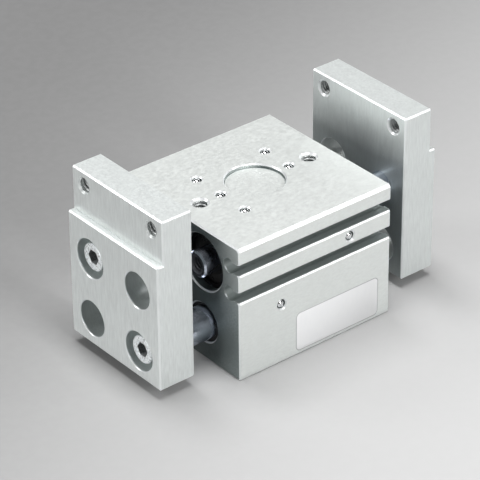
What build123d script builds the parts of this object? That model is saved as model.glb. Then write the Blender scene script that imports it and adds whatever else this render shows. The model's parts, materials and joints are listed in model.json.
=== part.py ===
"""Pneumatic parallel gripper: two jaws on round rods, coupled by a pinion and two racks.

X is the jaw travel, -Y the front with the sensor grooves, +Z up.
The origin is the centre of the body's bottom face. All sizes are in millimetres.
"""

import math
import os

from build123d import *

# Body
BODY_LENGTH = 55.0
BODY_WIDTH = 53.0
BODY_HEIGHT = 42.4
EDGE_BREAK = 0.4
FRONT_TOP_BREAK = 0.8

# Rods: the pistons run in the upper row, the guide rods with the racks in the lower one
TOP_WALL = 3.1
PISTON_ROD_DIAMETER = 8.0
GUIDE_ROD_DIAMETER = 10.0
ROD_PROUD = 2.1
ROD_TAP_DEPTH = 12.0
ROD_END_BREAK = 0.5

# Travel of each jaw: the part is drawn this far from fully open
OPENING_TRAVEL = 5.3
END_GAP = 0.3

# Cylinder bores and their rod covers
CYLINDER_BORE = 16.0
COVER_SHOULDER = 0.6
COVER_LENGTH = 9.6
COVER_WALL = 2.0
CIRCLIP_DEPTH = 2.6
CIRCLIP_THICKNESS = 1.0
CIRCLIP_GROOVE_STEP = 0.5
CIRCLIP_BAND = 1.5
CIRCLIP_LUG_RADIUS = 1.3
CIRCLIP_LUG_INSET = 0.5
CIRCLIP_EYE_DIAMETER = 1.2
CIRCLIP_MOUTH_ANGLE = 44.0
COVER_CIRCLIP_TURN = 150.0
COVER_BUSH_LENGTH = 5.0
COVER_BUSH_WALL = 1.0
ROD_SEAL_LENGTH = 3.0
O_RING_WIDTH = 2.0
O_RING_DEPTH = 1.2
O_RING_FROM_INSIDE = 5.6

# Guide bushes
GUIDE_BUSH_WALL = 1.0
GUIDE_BUSH_LENGTH = 8.0
GUIDE_BUSH_RECESS = 0.8
GUIDE_BORE_SPACE = 0.3

# Pistons
PISTON_NOSE_LENGTH = 1.4
PISTON_NOSE_WALL = 1.2
BUMPER_WALL = 1.3
BUMPER_PROUD = 0.2
PISTON_WALL = 1.6
MAGNET_WIDTH = 3.2
PISTON_SEAL_WIDTH = 1.6
PISTON_SEAL_DEPTH = 1.8
PISTON_LAND = 1.0
PISTON_END_LAND = 0.86

# Rack and pinion
MODULE = 0.8
PINION_TEETH = 18
PRESSURE_ANGLE = 20.0
DEDENDUM = 1.25
BACKLASH = 0.08
RACK_FROM_ROD_AXIS = 3.4
PINION_FACE = 7.0
PINION_BUSH_WALL = 1.0
PINION_POCKET_SPACE = 0.4
PIN_DIAMETER = 5.0
PIN_GRIP = 5.8
WASHER_THICKNESS = 0.5
WASHER_DIAMETER = 10.0
COVER_BOSS_DIAMETER = 10.0
COVER_DISC_SHOULDER = 1.6
COVER_DISC_THICKNESS = 1.6
PIN_SOCKET_FLOOR = 1.0
BASE_CIRCLIP_DEPTH = 0.9
BASE_CIRCLIP_GROOVE_STEP = 0.7
BASE_CIRCLIP_BAND = 1.8

# Finger plates
CLOSED_GAP = 1.0
FINGER_WIDTH = 40.0
FINGER_THICKNESS = 12.0
FINGER_TIP_THICKNESS = 10.0
FINGER_LOWER_WALL = 2.45
FINGER_STEP_RISE = 0.4
FINGER_TIP_HEIGHT = 13.5
FINGER_TAP_SPACING = 29.8
FINGER_TAP_BELOW_TOP = 4.4
ROD_SEAT_DEPTH = 1.5
ROD_HOLE_SPACE = 0.5
HOLE_BREAK = 0.25

# M5 fasteners and tapped holes
TAP_DRILL = 4.2
TAP_COUNTERSINK = 5.4
SCREW_DIAMETER = 5.0
SCREW_HOLE_DIAMETER = 5.5
SCREW_HEAD_DIAMETER = 8.5
SCREW_HEAD_HEIGHT = 5.0
SCREW_HEX = 4.0
SCREW_HEX_DEPTH = 2.5
SCREW_GRIP = 8.0
COUNTERBORE_DIAMETER = 12.0
COUNTERBORE_DEPTH = 6.1

# Top, base and rear faces
TOP_RECESS_DIAMETER = 17.3
TOP_RECESS_DEPTH = 1.2
TOP_TAP_SPACING = 39.4
TOP_TAP_DEPTH = 7.0
BASE_TAP_INSET_X = 7.5
BASE_TAP_INSET_Y = 5.5
BASE_TAP_DEPTH = 8.0
PORT_FROM_COVER = 1.66
PORT_DEPTH = 6.0
PORT_PASSAGE = 1.6

# Sensor grooves in the front face, placed from the axis of the cylinder behind them
GROOVE_OFFSET = 4.4
GROOVE_FROM_ROD = 11.6
GROOVE_MOUTH = 3.3
GROOVE_ROUND = 4.6

# Ball plugs that close the air drillings
BALL_DIAMETER = 2.8
BALL_SINK = 0.05
BALL_MOUTH_BREAK = 0.4
BALL_PASSAGE = 1.2
PLUG_OFFSET = 12.4
LOWER_PLUG_BELOW_ROW = 12.3

# Fits, the slope of a drill's point, and how far a cut runs past a face
RUNNING = 0.03
SEATED = 0.02
DRILL_POINT_SLOPE = math.tan(math.radians(31))
OVERCUT = 1.0

# Rod rows: the lower one lies midway between the base and the underside of the cylinders
HALF_LENGTH = BODY_LENGTH / 2
HALF_WIDTH = BODY_WIDTH / 2
PITCH_RADIUS = MODULE * PINION_TEETH / 2
ROD_OFFSET = PITCH_RADIUS + RACK_FROM_ROD_AXIS
PISTON_ROW_Z = BODY_HEIGHT - TOP_WALL - CYLINDER_BORE / 2
GUIDE_ROW_Z = (PISTON_ROW_Z - CYLINDER_BORE / 2) / 2

# Cylinders: the length between the covers gives the stroke
COVER_SEAT_DIAMETER = CYLINDER_BORE + 2 * COVER_SHOULDER
CIRCLIP_GROOVE_DIAMETER = COVER_SEAT_DIAMETER + 2 * CIRCLIP_GROOVE_STEP
ROD_SEAL_OUTER_RADIUS = COVER_SEAT_DIAMETER / 2 - COVER_WALL - 2 * SEATED
COVER_START = CIRCLIP_DEPTH + CIRCLIP_THICKNESS + 2 * SEATED
COVER_END = COVER_START + COVER_LENGTH
CHAMBER_HALF = HALF_LENGTH - COVER_END
PISTON_HEAD_HALF = MAGNET_WIDTH / 2 + PISTON_LAND + PISTON_SEAL_WIDTH + PISTON_END_LAND
PISTON_LENGTH = 2 * (PISTON_HEAD_HALF + PISTON_NOSE_LENGTH)
PISTON_NOSE_RADIUS = PISTON_ROD_DIAMETER / 2 + PISTON_NOSE_WALL
MAGNET_BORE = PISTON_ROD_DIAMETER + 2 * PISTON_WALL
PISTON_SEAL_BORE = CYLINDER_BORE - 2 * PISTON_SEAL_DEPTH
STROKE = 2 * CHAMBER_HALF - PISTON_LENGTH - 2 * END_GAP
CLOSING_TRAVEL = STROKE - OPENING_TRAVEL
PISTON_REST_X = (OPENING_TRAVEL - CLOSING_TRAVEL) / 2
PORT_OFFSET = CHAMBER_HALF - PORT_FROM_COVER
LOWER_PLUG_Z = PISTON_ROW_Z - LOWER_PLUG_BELOW_ROW
GROOVE_CENTRE_Y = -ROD_OFFSET - GROOVE_FROM_ROD
BASE_TAP_SPACING_X = BODY_LENGTH - 2 * BASE_TAP_INSET_X
BASE_TAP_SPACING_Y = BODY_WIDTH - 2 * BASE_TAP_INSET_Y

# Rack and pinion, its bush seats and its cover
GUIDE_BUSH_DIAMETER = GUIDE_ROD_DIAMETER + 2 * (RUNNING + GUIDE_BUSH_WALL)
PINION_BOTTOM_Z = GUIDE_ROW_Z - PINION_FACE / 2
TIP_RADIUS = PITCH_RADIUS + MODULE
ROOT_RADIUS = PITCH_RADIUS - DEDENDUM * MODULE
POCKET_RADIUS = TIP_RADIUS + PINION_POCKET_SPACE
COVER_DISC_DIAMETER = 2 * (POCKET_RADIUS + COVER_DISC_SHOULDER)
BASE_CIRCLIP_GROOVE_DIAMETER = COVER_DISC_DIAMETER + 2 * BASE_CIRCLIP_GROOVE_STEP
POCKET_TOP_Z = PINION_BOTTOM_Z + PINION_FACE + PINION_POCKET_SPACE
PIN_TOP_Z = POCKET_TOP_Z + PIN_GRIP
BOSS_TOP_Z = PINION_BOTTOM_Z - END_GAP - WASHER_THICKNESS
DISC_BOTTOM_Z = BASE_CIRCLIP_DEPTH + CIRCLIP_THICKNESS + 2 * SEATED
DISC_TOP_Z = DISC_BOTTOM_Z + COVER_DISC_THICKNESS
PIN_BOTTOM_Z = DISC_BOTTOM_Z + PIN_SOCKET_FLOOR

# Jaw plates and the rods that they carry
PLATE_INNER_X = HALF_LENGTH + CLOSED_GAP + CLOSING_TRAVEL
ROD_HOLE_DIAMETER = GUIDE_ROD_DIAMETER + 2 * ROD_HOLE_SPACE
FINGER_BOTTOM_Z = GUIDE_ROW_Z - COUNTERBORE_DIAMETER / 2 - FINGER_LOWER_WALL
FINGER_STEP_Z = BODY_HEIGHT + FINGER_STEP_RISE
FINGER_TOP_Z = FINGER_STEP_Z + FINGER_TIP_HEIGHT
SEAT_FLOOR = PLATE_INNER_X + ROD_SEAT_DEPTH
PLATE_OUTER_X = PLATE_INNER_X + FINGER_THICKNESS
ROD_LENGTH = SEAT_FLOOR + HALF_LENGTH + ROD_PROUD

SIDES = {"left": 1, "right": -1}
ROWS = {"front": -ROD_OFFSET, "rear": ROD_OFFSET}
TOP_PLUGS = [
    (-PLUG_OFFSET, ROD_OFFSET),
    (-PLUG_OFFSET, 0),
    (-PLUG_OFFSET, -ROD_OFFSET),
    (PLUG_OFFSET, ROD_OFFSET),
    (PLUG_OFFSET, 0),
]
FRONT_PLUGS = [(PLUG_OFFSET, PISTON_ROW_Z), (-PLUG_OFFSET, LOWER_PLUG_Z)]
TOP_FACE = Plane.XY.offset(BODY_HEIGHT)
FRONT_FACE = Plane.XZ.offset(HALF_WIDTH)
REAR_FACE = Plane(origin=(0, HALF_WIDTH, 0), x_dir=(1, 0, 0), z_dir=(0, 1, 0))
BASE_FACE = Plane(origin=(0, 0, 0), x_dir=(1, 0, 0), z_dir=(0, 0, -1))


def end_axis(side, y, z):
    """Plane on a bore axis: its origin is in the body's end face and its X runs inwards."""
    return Plane(origin=(-side * HALF_LENGTH, y, z), x_dir=(side, 0, 0), z_dir=(0, -side, 0))


def jaw_axis(side, y, z):
    """Plane on a rod axis: its X runs from the jaw's own plate towards the other plate."""
    return Plane(origin=(0, side * y, z), x_dir=(side, 0, 0), z_dir=(0, -side, 0))


def upright_axis(x=0.0, y=0.0):
    """Plane on a vertical axis: its X runs up."""
    return Plane(origin=(x, y, 0), x_dir=(0, 0, 1), z_dir=(0, 1, 0))


def turn(plane, outline, mode=Mode.ADD):
    """Turn an outline of (distance along the axis, radius) points about the plane's X axis."""
    with BuildSketch(plane) as half_section:
        with BuildLine():
            Polyline(*outline, close=True)
        make_face()
    revolve(half_section.sketch, axis=Axis(plane.origin, plane.x_dir), mode=mode)


def ring(start, end, inner, outer, edge=0.0):
    """Half section of a ring between two radii, with its outer corners broken."""
    if edge == 0:
        return [(start, inner), (start, outer), (end, outer), (end, inner)]
    return [
        (start, inner),
        (start, outer - edge),
        (start + edge, outer),
        (end - edge, outer),
        (end, outer - edge),
        (end, inner),
    ]


def drill(depth, radius, mouth_radius):
    """Half section of a drilled hole with a countersunk mouth and a drill point, into -X."""
    flare = mouth_radius - radius
    point = radius * DRILL_POINT_SLOPE
    return [
        (flare, 0),
        (flare, mouth_radius + flare),
        (-flare, radius),
        (-depth, radius),
        (-depth - point, 0),
    ]


def drill_axis(face, x, y):
    """Plane on the axis of a hole in a face: its X runs out of the face."""
    return Plane(origin=face.from_local_coords((x, y, 0)), x_dir=face.z_dir, z_dir=face.x_dir)


def finish(piece, name):
    """Label a finished piece and write it."""
    piece.part.label = name
    export_step(piece.part, f"parts/{name}.step")


def internal_circlip(plane, groove_diameter, band, turned=90.0):
    """Internal circlip with two eyed lugs, its mouth turned to the given angle."""
    outer = groove_diameter / 2 - SEATED
    inner = outer - band
    lug_centre = inner - CIRCLIP_LUG_INSET
    spread = CIRCLIP_MOUTH_ANGLE / 2
    with BuildSketch(plane) as outline:
        Circle(outer)
        Circle(inner, mode=Mode.SUBTRACT)
        reach = 2 * outer
        rise = reach * math.tan(math.radians(spread))
        with Locations(Rotation(0, 0, turned)):
            Polygon((0, 0), (reach, -rise), (reach, rise), align=None, mode=Mode.SUBTRACT)
        lugs = PolarLocations(lug_centre, 2, turned - spread, 2 * spread, endpoint=True)
        with lugs:
            Circle(CIRCLIP_LUG_RADIUS)
            Circle(CIRCLIP_EYE_DIAMETER / 2, mode=Mode.SUBTRACT)
    extrude(outline.sketch, amount=CIRCLIP_THICKNESS)


def cylinder_bore(row_y):
    """Through bore for one piston, with a cover seat and a circlip groove at each end."""
    turn(
        end_axis(1, row_y, PISTON_ROW_Z),
        ring(-OVERCUT, BODY_LENGTH + OVERCUT, 0, CYLINDER_BORE / 2),
        Mode.SUBTRACT,
    )
    seat = COVER_SEAT_DIAMETER / 2
    groove = CIRCLIP_GROOVE_DIAMETER / 2
    for side in SIDES.values():
        outline = [
            (-EDGE_BREAK, 0),
            (-EDGE_BREAK, seat + 2 * EDGE_BREAK),
            (EDGE_BREAK, seat),
            (CIRCLIP_DEPTH, seat),
            (CIRCLIP_DEPTH, groove),
            (COVER_START, groove),
            (COVER_START, seat),
            (COVER_END, seat),
            (COVER_END, 0),
        ]
        turn(end_axis(side, row_y, PISTON_ROW_Z), outline, Mode.SUBTRACT)


def guide_bore(row_y):
    """Through bore for one guide rod, with a bush seat at each end."""
    clear = GUIDE_ROD_DIAMETER / 2 + GUIDE_BORE_SPACE
    turn(
        end_axis(1, row_y, GUIDE_ROW_Z),
        ring(-OVERCUT, BODY_LENGTH + OVERCUT, 0, clear),
        Mode.SUBTRACT,
    )
    seat = GUIDE_BUSH_DIAMETER / 2 + SEATED
    for side in SIDES.values():
        outline = [
            (-EDGE_BREAK, 0),
            (-EDGE_BREAK, seat + 2 * EDGE_BREAK),
            (EDGE_BREAK, seat),
            (GUIDE_BUSH_RECESS + GUIDE_BUSH_LENGTH, seat),
            (GUIDE_BUSH_RECESS + GUIDE_BUSH_LENGTH, 0),
        ]
        turn(end_axis(side, row_y, GUIDE_ROW_Z), outline, Mode.SUBTRACT)


def pinion_pocket():
    """Pocket for the pinion, open to both guide bores, with the pin hole and cover seat."""
    pin = PIN_DIAMETER / 2
    disc = COVER_DISC_DIAMETER / 2 + SEATED
    groove = BASE_CIRCLIP_GROOVE_DIAMETER / 2
    outline = [
        (-EDGE_BREAK, 0),
        (-EDGE_BREAK, disc + 2 * EDGE_BREAK),
        (EDGE_BREAK, disc),
        (BASE_CIRCLIP_DEPTH, disc),
        (BASE_CIRCLIP_DEPTH, groove),
        (DISC_BOTTOM_Z, groove),
        (DISC_BOTTOM_Z, disc),
        (DISC_TOP_Z, disc),
        (DISC_TOP_Z, POCKET_RADIUS),
        (POCKET_TOP_Z, POCKET_RADIUS),
        (POCKET_TOP_Z, pin),
        (PIN_TOP_Z, pin),
        (PIN_TOP_Z + pin * DRILL_POINT_SLOPE, 0),
    ]
    turn(upright_axis(), outline, Mode.SUBTRACT)


def ball_hole(face, x, y, passage_end):
    """Seat of one ball plug: a countersunk mouth, a round floor and a narrow air drilling."""
    radius = BALL_DIAMETER / 2 + SEATED
    centre_depth = BALL_SINK + BALL_DIAMETER / 2
    plane = drill_axis(face, x, y)
    with BuildSketch(plane) as half_section:
        with BuildLine():
            mouth = Polyline(
                (BALL_MOUTH_BREAK, 0),
                (BALL_MOUTH_BREAK, radius + 2 * BALL_MOUTH_BREAK),
                (-BALL_MOUTH_BREAK, radius),
                (-centre_depth, radius),
            )
            floor = CenterArc((-centre_depth, 0), radius, 90, 90)
            Line(floor @ 1, mouth @ 0)
        make_face()
    revolve(half_section.sketch, axis=Axis(plane.origin, plane.x_dir), mode=Mode.SUBTRACT)
    turn(plane, ring(-passage_end, -centre_depth, 0, BALL_PASSAGE / 2), Mode.SUBTRACT)


def balls(face, places):
    """Ball plugs pressed just below a face."""
    with BuildPart() as plugs:
        for x, y in places:
            centre = face.from_local_coords((x, y, -BALL_SINK - BALL_DIAMETER / 2))
            with Locations(centre):
                Sphere(BALL_DIAMETER / 2)
    return plugs


def body_section():
    """Cross-section of the extruded body, with its two sensor grooves in the front face."""
    with BuildSketch(Plane.YZ.offset(-HALF_LENGTH)) as section:
        with Locations((0, BODY_HEIGHT / 2)):
            Rectangle(BODY_WIDTH, BODY_HEIGHT)
        groove_z = [PISTON_ROW_Z + GROOVE_OFFSET, PISTON_ROW_Z - GROOVE_OFFSET]
        with Locations(*[(GROOVE_CENTRE_Y, z) for z in groove_z]):
            Circle(GROOVE_ROUND / 2, mode=Mode.SUBTRACT)
            outwards = (Align.MAX, Align.CENTER)
            Rectangle(HALF_WIDTH, GROOVE_MOUTH, align=outwards, mode=Mode.SUBTRACT)
        corners = section.vertices().filter_by(lambda v: abs(abs(v.X) - HALF_WIDTH) < 0.01)
        front_top = corners.sort_by(lambda v: v.Y - v.X)[-1]
        chamfer(front_top, FRONT_TOP_BREAK)
        corners = section.vertices().filter_by(lambda v: abs(abs(v.X) - HALF_WIDTH) < 0.01)
        below = corners.filter_by(lambda v: v.Y < BODY_HEIGHT - 2 * FRONT_TOP_BREAK or v.X > 0)
        chamfer(below, EDGE_BREAK)
    return section


def make_housing():
    with BuildPart() as housing:
        section = body_section()
        extrude(section.sketch, amount=BODY_LENGTH)
        rims = housing.edges().filter_by(
            lambda e: abs(abs(e.center().X) - HALF_LENGTH) < 0.01
            and (
                abs(e.center().Y) > HALF_WIDTH - FRONT_TOP_BREAK
                or e.center().Z < FRONT_TOP_BREAK
                or e.center().Z > BODY_HEIGHT - FRONT_TOP_BREAK
            )
        )
        chamfer(rims, EDGE_BREAK)
        for row_y in ROWS.values():
            cylinder_bore(row_y)
            guide_bore(row_y)
        pinion_pocket()
        for x, y in TOP_PLUGS:
            to_bore = BODY_HEIGHT - PISTON_ROW_Z if y else BODY_HEIGHT - LOWER_PLUG_Z
            ball_hole(TOP_FACE, x, y, to_bore)
        for x, z in FRONT_PLUGS:
            ball_hole(FRONT_FACE, x, z, HALF_WIDTH - ROD_OFFSET)
        recess = TOP_RECESS_DIAMETER / 2
        recess_floor = [
            (-TOP_RECESS_DEPTH, 0),
            (-TOP_RECESS_DEPTH, recess),
            (-EDGE_BREAK, recess),
            (EDGE_BREAK, recess + 2 * EDGE_BREAK),
            (EDGE_BREAK, 0),
        ]
        turn(drill_axis(TOP_FACE, 0, 0), recess_floor, Mode.SUBTRACT)
        tapped = [
            (TOP_FACE, TOP_TAP_SPACING / 2, 0, TOP_TAP_DEPTH),
            (REAR_FACE, PORT_OFFSET, -PISTON_ROW_Z, PORT_DEPTH),
            (BASE_FACE, BASE_TAP_SPACING_X / 2, BASE_TAP_SPACING_Y / 2, BASE_TAP_DEPTH),
            (BASE_FACE, BASE_TAP_SPACING_X / 2, -BASE_TAP_SPACING_Y / 2, BASE_TAP_DEPTH),
        ]
        for face, x, y, depth in tapped:
            for mirror_x in (x, -x):
                outline = drill(depth, TAP_DRILL / 2, TAP_COUNTERSINK / 2)
                turn(drill_axis(face, mirror_x, y), outline, Mode.SUBTRACT)
        for x in (PORT_OFFSET, -PORT_OFFSET):
            passage = ring(ROD_OFFSET - HALF_WIDTH, -PORT_DEPTH, 0, PORT_PASSAGE / 2)
            turn(drill_axis(REAR_FACE, x, -PISTON_ROW_Z), passage, Mode.SUBTRACT)
    return housing


def make_rod_cover(side, row_y):
    """Rod cover that closes one end of a cylinder bore."""
    rod = PISTON_ROD_DIAMETER / 2
    outer = COVER_SEAT_DIAMETER / 2 - SEATED
    bush = rod + RUNNING + COVER_BUSH_WALL + SEATED
    bush_end = COVER_START + COVER_BUSH_LENGTH
    seal = ROD_SEAL_OUTER_RADIUS + SEATED
    seal_start = COVER_END - ROD_SEAL_LENGTH
    groove_end = COVER_END - O_RING_FROM_INSIDE + O_RING_WIDTH
    groove_start = COVER_END - O_RING_FROM_INSIDE
    outline = [
        (COVER_START, bush),
        (COVER_START, outer),
        (groove_start, outer),
        (groove_start, outer - O_RING_DEPTH),
        (groove_end, outer - O_RING_DEPTH),
        (groove_end, outer),
        (COVER_END, outer),
        (COVER_END, seal),
        (seal_start, seal),
        (seal_start, rod + END_GAP),
        (bush_end, rod + END_GAP),
        (bush_end, bush),
    ]
    with BuildPart() as rod_cover:
        turn(end_axis(side, row_y, PISTON_ROW_Z), outline)
    return rod_cover


def make_cover_bush(side, row_y):
    inner = PISTON_ROD_DIAMETER / 2 + RUNNING
    outline = ring(COVER_START, COVER_START + COVER_BUSH_LENGTH, inner, inner + COVER_BUSH_WALL)
    with BuildPart() as cover_bush:
        turn(end_axis(side, row_y, PISTON_ROW_Z), outline)
    return cover_bush


def make_rod_seal(side, row_y):
    inner = PISTON_ROD_DIAMETER / 2 + RUNNING
    outline = ring(COVER_END - ROD_SEAL_LENGTH, COVER_END - SEATED, inner, ROD_SEAL_OUTER_RADIUS)
    with BuildPart() as rod_seal:
        turn(end_axis(side, row_y, PISTON_ROW_Z), outline)
    return rod_seal


def make_cover_o_ring(side, row_y):
    outer = COVER_SEAT_DIAMETER / 2 - SEATED
    start = COVER_END - O_RING_FROM_INSIDE + SEATED
    outline = ring(start, start + O_RING_WIDTH - 2 * SEATED, outer - O_RING_DEPTH + SEATED, outer)
    with BuildPart() as o_ring:
        turn(end_axis(side, row_y, PISTON_ROW_Z), outline)
    return o_ring


def make_cover_circlips():
    """The four circlips that hold the rod covers in the body."""
    with BuildPart() as circlips:
        for side in SIDES.values():
            for row_y in ROWS.values():
                face_x = -side * (HALF_LENGTH - CIRCLIP_DEPTH - SEATED)
                mouth = Plane(
                    origin=(face_x, row_y, PISTON_ROW_Z), x_dir=(0, 1, 0), z_dir=(side, 0, 0)
                )
                mouth_turn = side * COVER_CIRCLIP_TURN
                internal_circlip(mouth, CIRCLIP_GROOVE_DIAMETER, CIRCLIP_BAND, mouth_turn)
    return circlips


def make_guide_bush(side, row_y):
    inner = GUIDE_ROD_DIAMETER / 2 + RUNNING
    end = GUIDE_BUSH_RECESS + GUIDE_BUSH_LENGTH - SEATED
    outline = ring(GUIDE_BUSH_RECESS, end, inner, inner + GUIDE_BUSH_WALL)
    with BuildPart() as guide_bush:
        turn(end_axis(side, row_y, GUIDE_ROW_Z), outline)
    return guide_bush


def tooth_half_angle(radius, thickness):
    """Half the angle of an involute tooth at a radius, in radians."""
    pressure = math.radians(PRESSURE_ANGLE)
    base = PITCH_RADIUS * math.cos(pressure)
    local = math.acos(min(1.0, base / radius))
    roll = (math.tan(pressure) - pressure) - (math.tan(local) - local)
    return thickness / (2 * PITCH_RADIUS) + roll


def make_drive_pinion():
    """Involute pinion between the two racks, with a tooth towards the rear one."""
    base = PITCH_RADIUS * math.cos(math.radians(PRESSURE_ANGLE))
    thickness = math.pi * MODULE / 2 - BACKLASH / 2
    radii = [base, PITCH_RADIUS, TIP_RADIUS]
    flank = [(r, tooth_half_angle(r, thickness)) for r in radii]
    upper = [(r * math.cos(a), r * math.sin(a)) for r, a in flank]
    lower = [(x, -y) for x, y in upper]
    foot = (ROOT_RADIUS - MODULE / 2, upper[0][1])
    with BuildSketch() as tooth:
        with BuildLine():
            Line(foot, upper[0])
            Spline(*upper)
            RadiusArc(upper[-1], lower[-1], TIP_RADIUS)
            Spline(*lower)
            Polyline(lower[0], (foot[0], -foot[1]), foot)
        make_face()
    with BuildPart() as pinion:
        with BuildSketch(Plane.XY.offset(PINION_BOTTOM_Z)):
            Circle(ROOT_RADIUS)
            with PolarLocations(0, PINION_TEETH, start_angle=90):
                add(tooth.sketch)
            Circle(PIN_DIAMETER / 2 + RUNNING + PINION_BUSH_WALL + SEATED, mode=Mode.SUBTRACT)
        extrude(amount=PINION_FACE)
    return pinion


def make_pinion_bush():
    inner = PIN_DIAMETER / 2 + RUNNING
    outline = ring(
        PINION_BOTTOM_Z, PINION_BOTTOM_Z + PINION_FACE, inner, inner + PINION_BUSH_WALL
    )
    with BuildPart() as bush:
        turn(upright_axis(), outline)
    return bush


def make_pinion_pin():
    pin = PIN_DIAMETER / 2 - SEATED
    outline = ring(PIN_BOTTOM_Z + SEATED, PIN_TOP_Z - SEATED, 0, pin, EDGE_BREAK)
    with BuildPart() as pinion_pin:
        turn(upright_axis(), outline)
    return pinion_pin


def make_pinion_washer():
    outline = ring(
        BOSS_TOP_Z, BOSS_TOP_Z + WASHER_THICKNESS, PIN_DIAMETER / 2 + SEATED, WASHER_DIAMETER / 2
    )
    with BuildPart() as washer:
        turn(upright_axis(), outline)
    return washer


def make_pinion_cover():
    """Round cover under the pinion, with a boss that holds the pin's lower end."""
    pin = PIN_DIAMETER / 2
    outline = [
        (DISC_BOTTOM_Z, 0),
        (DISC_BOTTOM_Z, COVER_DISC_DIAMETER / 2),
        (DISC_TOP_Z, COVER_DISC_DIAMETER / 2),
        (DISC_TOP_Z, COVER_BOSS_DIAMETER / 2),
        (BOSS_TOP_Z, COVER_BOSS_DIAMETER / 2),
        (BOSS_TOP_Z, pin),
        (PIN_BOTTOM_Z, pin),
        (PIN_BOTTOM_Z, 0),
    ]
    with BuildPart() as cover:
        turn(upright_axis(), outline)
    return cover


def make_pinion_cover_circlip():
    with BuildPart() as circlip:
        internal_circlip(
            Plane.XY.offset(BASE_CIRCLIP_DEPTH + SEATED),
            BASE_CIRCLIP_GROOVE_DIAMETER,
            BASE_CIRCLIP_BAND,
        )
    return circlip


def make_finger_plate(side):
    """Stepped jaw plate, with two screw counterbores, two rod holes and two tapped holes."""
    # Plane of the plate's side outline: X runs outwards, Y up
    outline_plane = Plane(origin=(0, 0, 0), x_dir=(-side, 0, 0), z_dir=(0, side, 0))
    with BuildPart() as plate:
        with BuildSketch(outline_plane) as section:
            with BuildLine():
                Polyline(
                    (PLATE_INNER_X, FINGER_BOTTOM_Z),
                    (PLATE_OUTER_X, FINGER_BOTTOM_Z),
                    (PLATE_OUTER_X, FINGER_STEP_Z),
                    (PLATE_INNER_X + FINGER_TIP_THICKNESS, FINGER_STEP_Z),
                    (PLATE_INNER_X + FINGER_TIP_THICKNESS, FINGER_TOP_Z),
                    (PLATE_INNER_X, FINGER_TOP_Z),
                    close=True,
                )
            make_face()
            outer_corners = section.vertices().filter_by(
                lambda v: abs(v.Y - FINGER_STEP_Z) > 0.01 or v.X > PLATE_OUTER_X - 0.01
            )
            chamfer(outer_corners, EDGE_BREAK)
        extrude(amount=FINGER_WIDTH / 2, both=True)
        chamfer(plate.faces().filter_by(Axis.Y).edges(), EDGE_BREAK)
        fixed = [(ROD_OFFSET, PISTON_ROW_Z, PISTON_ROD_DIAMETER)]
        fixed.append((-ROD_OFFSET, GUIDE_ROW_Z, GUIDE_ROD_DIAMETER))
        for y, z, rod_diameter in fixed:
            turn(jaw_axis(side, y, z), screw_seat(rod_diameter), Mode.SUBTRACT)
        for y, z in ((-ROD_OFFSET, PISTON_ROW_Z), (ROD_OFFSET, GUIDE_ROW_Z)):
            hole = through_hole(ROD_HOLE_DIAMETER / 2, FINGER_THICKNESS, HOLE_BREAK)
            turn(jaw_axis(side, y, z), hole, Mode.SUBTRACT)
        tap_break = (TAP_COUNTERSINK - TAP_DRILL) / 2
        for y in (FINGER_TAP_SPACING / 2, -FINGER_TAP_SPACING / 2):
            hole = through_hole(TAP_DRILL / 2, FINGER_TIP_THICKNESS, tap_break)
            tap_z = FINGER_TOP_Z - FINGER_TAP_BELOW_TOP
            turn(jaw_axis(side, y, tap_z), hole, Mode.SUBTRACT)
    return plate


def screw_seat(rod_diameter):
    """Half section of a stepped hole: counterbore outside, screw hole, rod seat inside."""
    counterbore = COUNTERBORE_DIAMETER / 2
    floor = -PLATE_OUTER_X + COUNTERBORE_DEPTH
    seat = rod_diameter / 2 + SEATED
    return [
        (-PLATE_OUTER_X - HOLE_BREAK, 0),
        (-PLATE_OUTER_X - HOLE_BREAK, counterbore + 2 * HOLE_BREAK),
        (-PLATE_OUTER_X + HOLE_BREAK, counterbore),
        (floor, counterbore),
        (floor, SCREW_HOLE_DIAMETER / 2),
        (-SEAT_FLOOR, SCREW_HOLE_DIAMETER / 2),
        (-SEAT_FLOOR, seat),
        (-PLATE_INNER_X + OVERCUT, seat),
        (-PLATE_INNER_X + OVERCUT, 0),
    ]


def through_hole(radius, thickness, edge):
    """Half section of a plain hole through the plate, with both mouths broken."""
    outer = -PLATE_INNER_X - thickness
    return [
        (outer - edge, 0),
        (outer - edge, radius + 2 * edge),
        (outer + edge, radius),
        (-PLATE_INNER_X - edge, radius),
        (-PLATE_INNER_X + edge, radius + 2 * edge),
        (-PLATE_INNER_X + edge, 0),
    ]


def rod_outline(diameter):
    """Half section of a rod with a tapped and countersunk hole in each end."""
    radius = diameter / 2
    tap = TAP_DRILL / 2
    mouth = TAP_COUNTERSINK / 2
    flare = mouth - tap
    point = tap * DRILL_POINT_SLOPE
    start = -SEAT_FLOOR
    end = start + ROD_LENGTH
    return [
        (start + ROD_TAP_DEPTH + point, 0),
        (start + ROD_TAP_DEPTH, tap),
        (start + flare, tap),
        (start, mouth),
        (start, radius - ROD_END_BREAK),
        (start + ROD_END_BREAK, radius),
        (end - ROD_END_BREAK, radius),
        (end, radius - ROD_END_BREAK),
        (end, mouth),
        (end - flare, tap),
        (end - ROD_TAP_DEPTH, tap),
        (end - ROD_TAP_DEPTH - point, 0),
    ]


def make_piston_rod(side):
    with BuildPart() as rod:
        turn(jaw_axis(side, ROD_OFFSET, PISTON_ROW_Z), rod_outline(PISTON_ROD_DIAMETER))
    return rod


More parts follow.
